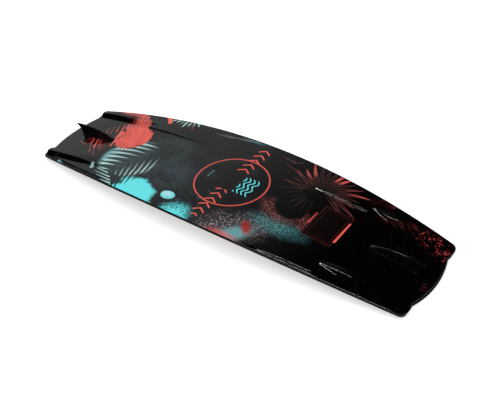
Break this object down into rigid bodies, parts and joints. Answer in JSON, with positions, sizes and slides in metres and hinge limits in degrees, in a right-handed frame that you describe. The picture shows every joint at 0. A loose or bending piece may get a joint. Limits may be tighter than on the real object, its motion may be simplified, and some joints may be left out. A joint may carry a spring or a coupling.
{
  "type": "wakeboard",
  "caption": "Twin-tip wakeboard without bindings, lying base up: rockered layered deck, moulded corner rails, bolted centre fins and threaded binding inserts.",
  "frame": {"origin": "midway along and across the board, at the level of the two tips it rests on when lying base up", "axes": "+X along the board towards the front tip, +Y towards the heel-side edge, +Z out of the base (the water side)"},
  "size_m": [1.34, 0.423, 0.08],
  "materials": {
    "printed_base": "printed, clear-coated, glossy",
    "deck_print": "printed, satin",
    "glass_laminate": "cured glass and resin",
    "core_foam": "closed-cell foam",
    "edge_black": "polished",
    "block_wood": "sawn",
    "brass": "turned",
    "stainless": "satin",
    "fin_black": "moulded, semi-gloss",
    "gasket_rubber": "matt",
    "sleeve_white": "moulded"
  },
  "bodies": {
    "board": {"base_skin": "printed_base", "base_laminate": "glass_laminate", "foam_core": "core_foam", "deck_laminate": "glass_laminate", "deck_skin": "deck_print", "sidewall_toe": "edge_black", "sidewall_heel": "edge_black", "tip_band_front": "edge_black", "tip_band_rear": "edge_black", "insert_block_front": "block_wood", "insert_block_rear": "block_wood", "fin_block_front": "block_wood", "fin_block_rear": "block_wood", "rail_front_toe": "printed_base", "rail_front_heel": "printed_base", "rail_rear_toe": "printed_base", "rail_rear_heel": "printed_base", "binding_inserts_front": "brass", "binding_inserts_rear": "brass", "fin_screw_sleeves": "sleeve_white", "fin_cup_washers": "stainless"},
    "fin_front": {"centre_fin_front": "fin_black", "fin_nuts_front": "brass", "fin_gasket_front": "gasket_rubber"},
    "fin_rear": {"centre_fin_rear": "fin_black", "fin_nuts_rear": "brass", "fin_gasket_rear": "gasket_rubber"},
    "screw_front_inner": {"fin_screw_front_inner": "stainless"},
    "screw_front_outer": {"fin_screw_front_outer": "stainless"},
    "screw_rear_inner": {"fin_screw_rear_inner": "stainless"},
    "screw_rear_outer": {"fin_screw_rear_outer": "stainless"}
  },
  "joints": [
    {"name": "fin_front_lift", "type": "slide", "parent": "board", "child": "fin_front", "axis": [0.1572, 0, 0.9876], "range_m": [0, 0.04]},
    {"name": "fin_rear_lift", "type": "slide", "parent": "board", "child": "fin_rear", "axis": [-0.1572, 0, 0.9876], "range_m": [0, 0.04]},
    {"name": "screw_front_inner_out", "type": "slide", "parent": "board", "child": "screw_front_inner", "axis": [-0.1572, 0, -0.9876], "range_m": [0, 0.01]},
    {"name": "screw_front_outer_out", "type": "slide", "parent": "board", "child": "screw_front_outer", "axis": [-0.1572, 0, -0.9876], "range_m": [0, 0.01]},
    {"name": "screw_rear_inner_out", "type": "slide", "parent": "board", "child": "screw_rear_inner", "axis": [0.1572, 0, -0.9876], "range_m": [0, 0.01]},
    {"name": "screw_rear_outer_out", "type": "slide", "parent": "board", "child": "screw_rear_outer", "axis": [0.1572, 0, -0.9876], "range_m": [0, 0.01]}
  ]
}
